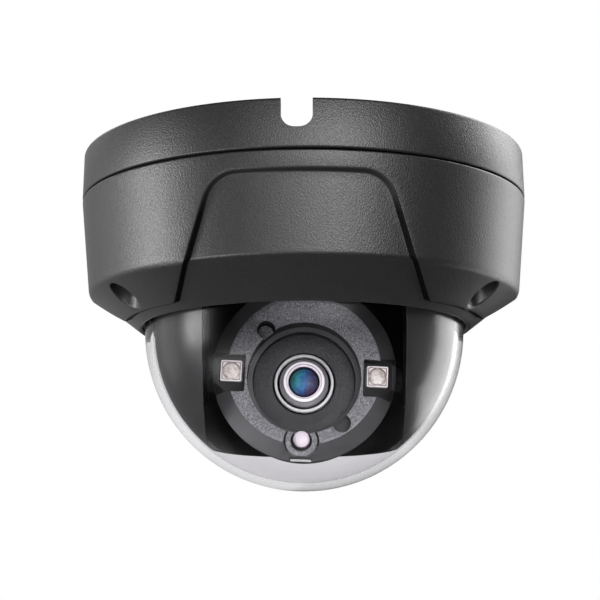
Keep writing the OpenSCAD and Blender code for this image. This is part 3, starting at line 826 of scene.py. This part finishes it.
# ---------------------------------------------------------------- base
def base_housing():
    profile = rounded_loop(
        [(9, FLOOR_TOP), (9, SPIGOT_LOW), (13, SPIGOT_LOW), (13, BASE_LOW),
         (SPIGOT_R - 2.2, BASE_LOW), (SPIGOT_R - 2.2, SPIGOT_LOW), (SPIGOT_R, SPIGOT_LOW),
         (SPIGOT_R, GROOVE_LOW), (GROOVE_R, GROOVE_LOW), (GROOVE_R, GROOVE_TOP),
         (SPIGOT_R, GROOVE_TOP), (SPIGOT_R, BASE_LOW), (BODY_R, BASE_LOW), (RIM_R, 0),
         (RIM_R - RIM_WALL, 0), (RIM_R - RIM_WALL, FLOOR_TOP)],
        [0.2, 0.3, 0.3, 0.5, 0.5, 0.3, 0.3, 0, 0.1, 0.1, 0, 0.2, 0.45, 0.7, 0.4, 0.8], 5)
    shape = Shape()
    shape.lathe(profile, 240)
    obj = shape.build("base_housing_casting", [PAINT], 38)
    w, h = SIDE_NOTCH_W, SIDE_NOTCH_H
    notch = rounded_loop([(-w, 2), (-w, -h), (w, -h), (w, 2)], [0, 3.0, 3.0, 0], 8)
    place = Matrix.Translation((SIDE_NOTCH_X, -50.0, 0)) @ Matrix.Rotation(math.radians(90), 4, "X")
    cut(obj, [prism(notch, -2, 8, place)])
    for az in (45, 135, 225, 315):
        spin = Matrix.Rotation(math.radians(az), 4, "Z") @ Matrix.Translation((0, -FIX_RING_R, 0))
        boss = Shape()
        boss.lathe(rounded([(0, FLOOR_TOP - 1), (FIX_BOSS_R, FLOOR_TOP - 1), (FIX_BOSS_R, 0), (0, 0)],
                           [0, 0.4], 4), 64, closed=False, place=spin)
        cut(obj, [boss.build("boss")], "UNION")
        cut(obj, [cylinder(FIX_HOLE_R, -14, 2, place=spin, steps=48)])
    smooth(obj, 38)
    posts = Shape()
    for az in SCREW_AZ:
        spin = Matrix.Rotation(math.radians(az), 4, "Z") @ Matrix.Translation((0, -SCREW_R, 0))
        posts.lathe(rounded_loop([(1.55, -13), (1.55, POST_LOW), (2.7, POST_LOW),
                                  (2.7, BASE_LOW + 0.5), (0, BASE_LOW + 0.5), (0, -13)],
                                 [0, 0.2, 0.3, 0, 0, 0], 3), 40, place=spin)
    post_obj = posts.build("base_posts", [PAINT], 38)
    join(obj, post_obj)
    return piece(obj, "base_housing")


def join(obj, *others):
    """Adds the others' meshes to obj as separate shells of one piece."""
    bm = bmesh.new()
    for o in (obj, *others):
        bm.from_mesh(o.data)
    bm.to_mesh(obj.data)
    bm.free()
    for o in others:
        bpy.data.objects.remove(o)
    return obj


base_housing()


# ---------------------------------------------------------------- dome, gasket and liner
def dome_bubble():
    n = 72
    inner = [((DOME_R - DOME_T) * math.cos(a), DOME_Z - (DOME_R - DOME_T) * math.sin(a))
             for a in np.linspace(0, math.pi / 2, n)]
    outer = [(DOME_R * math.cos(a), DOME_Z - DOME_R * math.sin(a))
             for a in np.linspace(math.pi / 2, 0, n)]
    flange = rounded([(DOME_R, DOME_Z), (DOME_R, -38.8), (43.7, -38.8), (43.7, -37.2),
                      (DOME_R - DOME_T, -37.2), (DOME_R - DOME_T, DOME_Z)], [0.3] * 4, 3)[1:-1]
    shape = Shape()
    shape.lathe(inner + outer + flange, 240)
    obj = shape.build("dome_bubble_clear", [MATERIALS["clear_dome"],
                                            clear_dome("clear_dome_inside", False)], 50)
    for p in obj.data.polygons:
        from_centre = (p.center / MM - Vector((0, 0, DOME_Z))).length
        p.material_index = 1 if p.center.z / MM < -38 and from_centre < DOME_R - DOME_T / 2 else 0
    return piece(obj, "dome_bubble")


def dome_gasket():
    r = DOME_R + 0.1
    shape = Shape()
    shape.lathe(rounded_loop([(r, -42.6), (LIP_IN - 0.1, -42.6), (LIP_IN - 0.1, LEDGE_Z),
                              (LEDGE_R - 0.2, LEDGE_Z), (LEDGE_R - 0.2, -38.8), (r, -38.8)],
                             [0.2, 0.2, 0, 0, 0, 0], 3), 240)
    return piece(shape.build("dome_gasket_ring", [MATERIALS["rubber"]], 40), "dome_gasket")


def inner_liner():
    n = 60
    r_in = LINER_R - LINER_T
    inner = [(r_in * math.cos(a), DOME_Z - r_in * math.sin(a)) for a in np.linspace(0, math.pi / 2, n)]
    outer = [(LINER_R * math.cos(a), DOME_Z - LINER_R * math.sin(a))
             for a in np.linspace(math.pi / 2, 0, n)]
    top = rounded([(LINER_R, DOME_Z), (LINER_R, LINER_TOP), (28, LINER_TOP), (28, LINER_TOP - LINER_T),
                   (r_in, LINER_TOP - LINER_T), (r_in, DOME_Z)], [0.3, 0.2, 0.2, 0.8], 3)[1:-1]
    shape = Shape()
    shape.lathe(inner + outer + top, 192)
    obj = shape.build("inner_liner_shell", [MATERIALS["black_gloss"]], 40)
    slot = prism(rectangle(2 * SLOT_W, 60, (0, -30)), LINER_CUT - 20, -30, name="slot")
    under = prism(rectangle(120, 120), LINER_CUT - 20, LINER_CUT, name="under")
    cut(obj, [slot, under])
    soften(obj, 0.3, 3, 50, 35)
    return piece(obj, "inner_liner")


dome_bubble()
dome_gasket()
inner_liner()


# ---------------------------------------------------------------- camera head
DISC_R, FACE_R, RIM_S, FACE_S, WEB_S, BACK_S = 22.3, 18.6, 9.3, 11.5, 8.0, 4.0
WELL_LENS_R, STEP_R, STEP_S, PLATE_S = 13.8, 12.6, 7.2, 5.0
NOTCHES, NOTCH_R, NOTCH_S = ((-9.7, 9.5), (9.5, -12.9)), 2.25, 9.9
LAMP_X, LAMP_Y, LAMP_W, LAMP_TOP = 17.8, -0.5, 5.2, 9.3
SENSOR_Y, BOSS_R, BOARD_S, BOARD_R = -16.5, 3.9, 6.4, 20.3
TRIM_R, TRIM_TOP, RING_R, RING_TOP, GLASS_R = 7.25, 5.7, 5.05, 7.5, 3.8


def front_bezel():
    shape = Shape()
    shape.lathe(rounded([(0, WEB_S), (BOARD_R + 0.1, WEB_S), (BOARD_R + 0.1, BACK_S),
                         (DISC_R - 1.1, BACK_S), (DISC_R, RIM_S - 0.8), (DISC_R, RIM_S),
                         (FACE_R, FACE_S), (0, FACE_S)], [0, 0.2, 0.2, 0.2, 0.2, 0.5], 4),
                180, closed=False)
    obj = shape.build("front_bezel_moulding", sharp=30)
    lens_mid, boss_mid = (0, -LENS_DROP), (0, SENSOR_Y - 1.1)
    well_wall = cylinder(WELL_LENS_R + 1, BOARD_S + 0.1, WEB_S + 1.5, lens_mid, steps=128)
    step_wall = cylinder(STEP_R + 1, PLATE_S - 1.1, WEB_S + 1.0, lens_mid, steps=128)
    boss_solid = cylinder(BOSS_R, WEB_S + 0.6, FACE_S - 0.03, boss_mid, steps=96)
    cut(obj, [well_wall, step_wall, boss_solid], "UNION")
    cutters = [cylinder(WELL_LENS_R, STEP_S, FACE_S + 1, lens_mid, steps=160),
               cylinder(STEP_R, 0, FACE_S + 1, lens_mid, steps=160)]
    moat = cylinder(NOTCH_R, 8.6, FACE_S + 1, NOTCHES[0], steps=48)
    post_mid = (NOTCHES[0][0] - 0.15, NOTCHES[0][1] - 0.5)
    cut(moat, [cylinder(1.9, 8, NOTCH_S, post_mid, steps=48)])
    cutters += [moat, cylinder(NOTCH_R, 8.8, FACE_S + 1, NOTCHES[1], steps=48)]
    for side in (-1, 1):
        x = side * LAMP_X
        cutters.append(prism(rectangle(LAMP_W + 0.5, LAMP_W + 0.5, (x, LAMP_Y), 0.3), BOARD_S - 0.1,
                             FACE_S + 1))
        out = side * 3.5
        pocket = [(x - out, LAMP_Y + 3.7), (x + out, LAMP_Y + 3.3), (x + out, LAMP_Y - 3.4),
                  (x + out * 0.3, LAMP_Y - 5.6), (x - out, LAMP_Y - 5.6)]
        if side < 0:
            pocket.reverse()
        cutters.append(prism(rounded_loop(pocket, [0.5] * 5, 4), 9.0, FACE_S + 1))
    cutters.append(cylinder(2.6, 0, FACE_S + 1, (0, SENSOR_Y - 1.0), steps=64))
    groove = Shape()
    groove.lathe([(BOSS_R - 0.1, 10.4), (BOSS_R + 0.4, 10.4), (BOSS_R + 0.4, FACE_S + 1),
                  (BOSS_R - 0.1, FACE_S + 1)], 96, place=Matrix.Translation((*boss_mid, 0)))
    cutters.append(groove.build("groove"))
    cutters.append(prism(rectangle(5.4, 2.0, (0, -DISC_R)), BACK_S - 1.1, FACE_S + 1))
    cutters.append(prism(rectangle(5.4, 4.4, (0, -DISC_R)), BACK_S - 1, WEB_S - 0.6))
    cut(obj, cutters)
    soften(obj, 0.16, 2, 35, 30)
    obj.data.transform(Matrix.Scale(MM, 4) @ HEAD @ Matrix.Scale(1 / MM, 4))
    piece(obj, "front_bezel", SMOOTH_BEZEL, MATERIALS["textured_bezel"], RECESS_SHADE)
    to_head = HEAD.inverted()
    for p in obj.data.polygons:
        c = to_head @ (p.center / MM)
        flat = (to_head.to_3x3() @ p.normal).z > 0.97
        side = -1 if c.x < 0 else 1
        pocket = abs(c.x - side * LAMP_X) < 3.55 and -6.2 < c.y < 3.3 and c.z < FACE_S - 0.25
        ring = abs((c.xy - Vector(boss_mid)).length - BOSS_R - 0.15) < 0.4 and c.z < FACE_S - 0.1
        notch = any((c.xy - Vector(at)).length < NOTCH_R + 0.1 for at in NOTCHES)
        moat_floor = (c.xy - Vector(NOTCHES[0])).length < NOTCH_R + 0.1 and c.z < 9
        from_lens = (c.xy - Vector(lens_mid)).length
        wall = not flat and STEP_R - 0.1 < from_lens < WELL_LENS_R + 0.1 and c.z < FACE_S - 0.2
        # painted shade: the lens well's wall, the lamp pockets, the moat floor round the notch post, the
        # groove round the sensor's boss and the notches' walls get the near-black material 2
        in_shade = (wall or pocket or moat_floor or (ring and c.xy.length < FACE_R + 0.3)
                or (notch and not flat and c.z < FACE_S - 0.1))
        boss = (c.xy - Vector(boss_mid)).length < BOSS_R
        inner = c.xy.length < FACE_R + 0.1 or boss
        face = flat and inner and c.z > 9.6
        p.material_index = 2 if in_shade else 1 if face else 0
    return obj


def lens_plate():
    hole = TRIM_R + 0.45
    shape = Shape()
    shape.lathe(rounded_loop([(hole, PLATE_S - 1.1), (STEP_R - 0.05, PLATE_S - 1.1),
                              (STEP_R - 0.05, PLATE_S), (hole, PLATE_S)], [0, 0, 0.2, 0.25], 3),
                160, place=LENS)
    return piece(shape.build("lens_plate_disc", [FINE_BEZEL], 35), "lens_plate")


def lens_parts():
    barrel = Shape()
    barrel.lathe(rounded([(4.1, -7), (6.0, -7), (6.0, 3.3), (TRIM_R, 3.3), (TRIM_R, 4.2), (6.5, 4.2),
                          (6.3, 3.7), (5.95, 3.7), (5.95, 5.9), (5.8, 6.1), (5.1, 6.6), (4.1, 6.6),
                          (3.95, 5.9), (4.1, 4.9)],
                         [0.1, 0.1, 0.1, 0.05, 0.1, 0.05, 0.05, 0.05, 0.1, 0.05, 0.1, 0.1], 3),
                 128, place=LENS)
    barrel = barrel.build("lens_barrel_turned", [MATERIALS["lens_black"], NOSE_METAL], 35)
    for p in barrel.data.polygons:
        c = LENS.inverted() @ (p.center / MM)
        p.material_index = 1 if c.z > 4.4 and c.xy.length > 5.0 else 0
    piece(barrel, "lens_barrel")
    trim = Shape()
    trim.lathe(rounded_loop([(TRIM_R - 0.65, 4.2), (TRIM_R, 4.2), (TRIM_R, TRIM_TOP),
                             (TRIM_R - 0.65, TRIM_TOP)], [0, 0, 0.14, 0.10], 5), 128, place=LENS)
    piece(trim.build("lens_trim_ring_bright", [MATERIALS["lens_silver"]], 60), "lens_trim_ring")
    front = Shape()
    front.lathe(rounded_loop([(3.85, 6.7), (RING_R, 6.7), (RING_R, RING_TOP), (4.4, RING_TOP),
                              (4.35, 6.95), (3.85, 6.9)], [0, 0, 0.3, 0.06, 0.04, 0.05], 5),
                128, place=LENS)
    front = front.build("lens_front_ring_bright", [RING_WHITE, RING_SHADE, RING_LEDGE_SHADE], 60)
    for p in front.data.polygons:
        c = LENS.inverted() @ (p.center / MM)
        wall = c.xy.length < 4.42 and c.z > 6.99
        # painted shade: the ring's inner wall gets dark grey and its ledge a greyish pink, darker than
        # the white band
        p.material_index = 1 if wall else 2 if c.xy.length < 4.36 else 0
    piece(front, "lens_front_ring")
    glass = Shape()
    ball = (GLASS_R ** 2 + 1.2 ** 2) / 2.4
    dome = [(ball * math.sin(a), 7.1 + ball * math.cos(a) - ball)
            for a in np.linspace(math.asin(GLASS_R / ball), 0, 14)]
    glass.lathe([(0, 4.5), (GLASS_R, 4.5)] + dome, 96, closed=False, place=LENS)
    piece(glass.build("front_glass_element", [MATERIALS["lens_glass"]], 50), "front_glass")


def lamp(side, node):
    """A surface-mounted infrared lamp: bright frame, round clear lens over a bright cup."""
    move = HEAD @ Matrix.Translation((side * LAMP_X, LAMP_Y, 0))
    top, cup_r = LAMP_TOP, 2.2
    outline = rectangle(LAMP_W, LAMP_W, (0, 0), 0.35)
    outer = densify(outline + outline[:1], 0.2)[:-1]
    cup = [tuple(cup_r * v for v in unit(p)) for p in outer]
    frame = [(1.0, BOARD_S), (1.0, top - 0.3), (0.98, top), (0.88, top), (0.87, top - 0.2)]
    gap = [(0.87, top - 0.2), (0.81, top - 0.2)]
    corners = [(0.81, top - 0.2), (0.80, top - 0.15)]

    def level(loop, scale, z):
        return [(x * scale, y * scale, z) for x, y in loop]

    shape = Shape()
    shape.rings([level(outer, *at) for at in frame], place=move, cap_first=True)
    # painted shade: the thin gap round the lens and the upper wall of the cup get the dark brown
    # material 4
    shape.rings([level(outer, *at) for at in gap], mat=4, place=move)
    shape.rings([level(outer, *at) for at in corners] + [level(cup, 1.0, top - 0.2)], place=move)
    shape.rings([level(cup, 1.0, top - 0.2), level(cup, 0.96, top - 0.7)], mat=4, place=move)
    shape.lathe([(0, 7.6), (1.5, 7.6), (1.9, 8.4), (cup_r - 0.08, top - 0.7)], 48, closed=False,
                mat=1, place=move)
    bulge = [(2.05 * math.sin(a), 8.5 + 0.9 * math.cos(a)) for a in np.linspace(math.pi / 2, 0, 12)]
    shape.lathe(bulge, 48, closed=False, mat=2, place=move)
    die = rectangle(0.9, 0.9, (0.15, 0.1), 0.1)
    shape.rings([[(x, y, 7.55) for x, y in die], [(x, y, 7.8) for x, y in die]], mat=3, place=move,
                cap_first=True, cap_last=True)
    obj = shape.build(node + "_package", [LAMP_CASE, MATERIALS["lens_silver"], LAMP_LENS, LAMP_DIE,
                                          LAMP_GAP_SHADE], 35)
    return piece(obj, node)


def lamp_lens():
    """Clear epoxy that glows a little pink over its bright cup."""
    m = Nodes("lamp_lens")
    blotches = m.ramp(m.noise(0.9, 4, 0.7), [(0.35, (0.62, 0.48, 0.38)),
                                             (0.48, (0.90, 0.82, 0.76)), (0.6, (1.0, 0.97, 0.95))])
    m.put(Base_Color=blotches, Roughness=m.span(m.noise(0.6, 2), 0.10, 0.20), IOR=1.5,
          Transmission_Weight=0.1, Coat_Weight=0.6)
    return m.mat


LAMP_CASE = plastic("lamp_case", (0.72, 0.68, 0.68, 1), (0.88, 0.84, 0.83, 1), (0.12, 0.25), 0.3, 0.02)
LAMP_LENS = lamp_lens()
LAMP_GAP_SHADE = plastic("lamp_gap_shade", (0.10, 0.06, 0.05, 1), (0.16, 0.10, 0.08, 1), (0.3, 0.5))
LAMP_DIE = plastic("lamp_die", (0.25, 0.20, 0.08, 1), (0.35, 0.28, 0.12, 1), (0.2, 0.3))
NOSE_METAL = plastic("nose_metal", grey(0.16, 0.03), grey(0.22, 0.04), (0.25, 0.35), 0.12, 0.003)
RING_SHADE = plastic("ring_shade", grey(0.10, 0.1), grey(0.14, 0.1), (0.3, 0.4), 0.2, 0.002, 1.0)
RING_LEDGE_SHADE = plastic("ring_ledge_shade", (0.70, 0.64, 0.70, 1), (0.80, 0.73, 0.78, 1), (0.3, 0.4), 0.2,
                     0.002, 1.0)
RING_WHITE = plastic("ring_white", (0.88, 0.83, 0.87, 1), (0.95, 0.91, 0.94, 1), (0.2, 0.3), 0.15,
                     0.002, 1.0)


def light_sensor():
    move = HEAD @ Matrix.Translation((0, SENSOR_Y - 0.4, 0))
    shape = Shape()
    cap = [(2.0 * math.sin(a), 10.0 + 0.6 * math.cos(a)) for a in np.linspace(math.pi / 2, 0, 10)]
    shape.lathe([(0, BOARD_S), (2.0, BOARD_S)] + cap, 64, closed=False, place=move)
    collar = HEAD @ Matrix.Translation((0, SENSOR_Y - 0.8, 0))
    shape.lathe([(0, BOARD_S), (2.45, BOARD_S), (2.45, 8.2), (0, 8.2)], 48, closed=False, mat=1,
                place=collar)
    return piece(shape.build("light_sensor_cell", [MATERIALS["sensor_window"],
                                                   MATERIALS["chip_black"]], 50), "light_sensor")


front_bezel()
lens_plate()
lens_parts()
lamp(-1, "ir_lamp_left")
lamp(1, "ir_lamp_right")
light_sensor()


# ---------------------------------------------------------------- camera and light
def camera():
    data = bpy.data.cameras.new("camera")
    data.sensor_width = 36
    data.lens = 99.5
    data.shift_x, data.shift_y = -0.00697, 0.03527
    data.dof.use_dof = False
    obj = bpy.data.objects.new("camera", data)
    bpy.context.scene.collection.objects.link(obj)
    up_angle, roll = math.radians(9.746), math.radians(-0.251)
    away = 0.41498
    look = Vector((0, math.cos(up_angle), math.sin(up_angle)))
    right = Vector((1, 0, 0))
    up = right.cross(look)
    turned = right * math.cos(roll) + up * math.sin(roll)
    up = turned.cross(look)
    turn = Matrix((turned, up, -look)).transposed().to_4x4()
    obj.matrix_world = Matrix.Translation(Vector((0, 0, -0.041)) - look * away) @ turn
    bpy.context.scene.camera = obj


MIDDLE = Vector((0, 0, -0.04))
# name, angle from the front, angle above the horizon, width, height, radiance
BOXES = [("left_box", -80, 3, 0.30, 0.34, 20),
         ("left_rear_box", -112, 0, 0.30, 0.50, 1.2),
         ("front_box", 20, 13, 0.40, 0.34, 13),
         ("front_fill", -4, 13, 0.50, 0.34, 5),
         ("low_front_box", 0, -26, 0.90, 0.30, 1.5),
         ("low_left_box", -56, -24, 0.60, 0.16, 14),
         ("right_box", 124, 0, 0.55, 0.90, 4.2),
         ("right_high_box", 116, 36, 0.40, 0.50, 7.5),
         ("rear_right_box", 142, 42, 0.40, 0.40, 2.5),
         ("rear_left_box", -140, 38, 0.40, 0.40, 3),
         ("back_panel", -140, -4, 1.40, 1.60, 0.5)]
BOX_AWAY = 0.9


def softbox(name, around, above, width, height, radiance):
    """A soft rectangular lamp that faces the part and isn't seen by the camera."""
    data = bpy.data.lights.new(name, "AREA")
    data.shape, data.size, data.size_y = "RECTANGLE", width, height
    data.energy = math.pi * width * height * radiance
    obj = bpy.data.objects.new(name, data)
    bpy.context.scene.collection.objects.link(obj)
    a, e = math.radians(around), math.radians(above)
    toward = Vector((math.sin(a) * math.cos(e), -math.cos(a) * math.cos(e), math.sin(e)))
    obj.location = MIDDLE + toward * BOX_AWAY
    obj.rotation_euler = (-toward).to_track_quat("-Z", "Y").to_euler()
    obj.visible_camera = False
    obj.visible_transmission = False
    return obj


AMBIENT = 0.0         # strength of the world for light that has bounced


def backdrop():
    """The world is plain white behind the part, and dark to light that has bounced."""
    world = bpy.data.worlds.new("studio")
    bpy.context.scene.world = world
    world.use_nodes = True
    tree = world.node_tree
    back = tree.nodes["Background"]
    back.inputs["Color"].default_value = (1, 1, 1, 1)
    path = tree.nodes.new("ShaderNodeLightPath")
    bounced = tree.nodes.new("ShaderNodeMath")
    tree.links.new(path.outputs["Diffuse Depth"], bounced.inputs[0])
    tree.links.new(path.outputs["Glossy Depth"], bounced.inputs[1])
    pick = tree.nodes.new("ShaderNodeMapRange")
    pick.inputs["To Min"].default_value = 1.0
    pick.inputs["To Max"].default_value = AMBIENT
    tree.links.new(bounced.outputs[0], pick.inputs["Value"])
    in_skin = tree.nodes.new("ShaderNodeMath")
    in_skin.operation = "COMPARE"
    in_skin.inputs[1].default_value, in_skin.inputs[2].default_value = 2.0, 0.5
    tree.links.new(path.outputs["Transmission Depth"], in_skin.inputs[0])
    either = tree.nodes.new("ShaderNodeMath")
    either.operation = "MAXIMUM"
    tree.links.new(pick.outputs["Result"], either.inputs[0])
    tree.links.new(in_skin.outputs[0], either.inputs[1])
    tree.links.new(either.outputs[0], back.inputs["Strength"])


def pale_floor(z=-2.4, half=1.6):
    """A plain floor far below the part, pale to the camera and lighting nothing."""
    mesh = bpy.data.meshes.new("floor")
    mesh.from_pydata([(-half, -half, z), (half, -half, z), (half, half, z), (-half, half, z)],
                     [], [(0, 1, 2, 3)])
    floor = bpy.data.objects.new("floor", mesh)
    bpy.context.scene.collection.objects.link(floor)
    m = Nodes("pale_floor")
    seen = m.node("ShaderNodeLightPath").outputs["Is Camera Ray"]
    m.put(Base_Color=m.ramp(m.noise(80, 2), [(0.3, grey(0.72)), (0.7, grey(0.76))]),
          Roughness=m.span(m.noise(30, 2), 0.7, 0.8), Emission_Color=(1, 1, 1, 1),
          Emission_Strength=m.span(seen, 0.0, 0.8))
    m.mat.cycles.emission_sampling = "NONE"
    mesh.materials.append(m.mat)


camera()
backdrop()
for box in BOXES:
    softbox(*box)
bounce = softbox("floor_bounce", -15, -32, 0.9, 0.5, 6.5)
bounce.visible_glossy = False
pale_floor()

scene = bpy.context.scene
scene.view_settings.view_transform = "Standard"
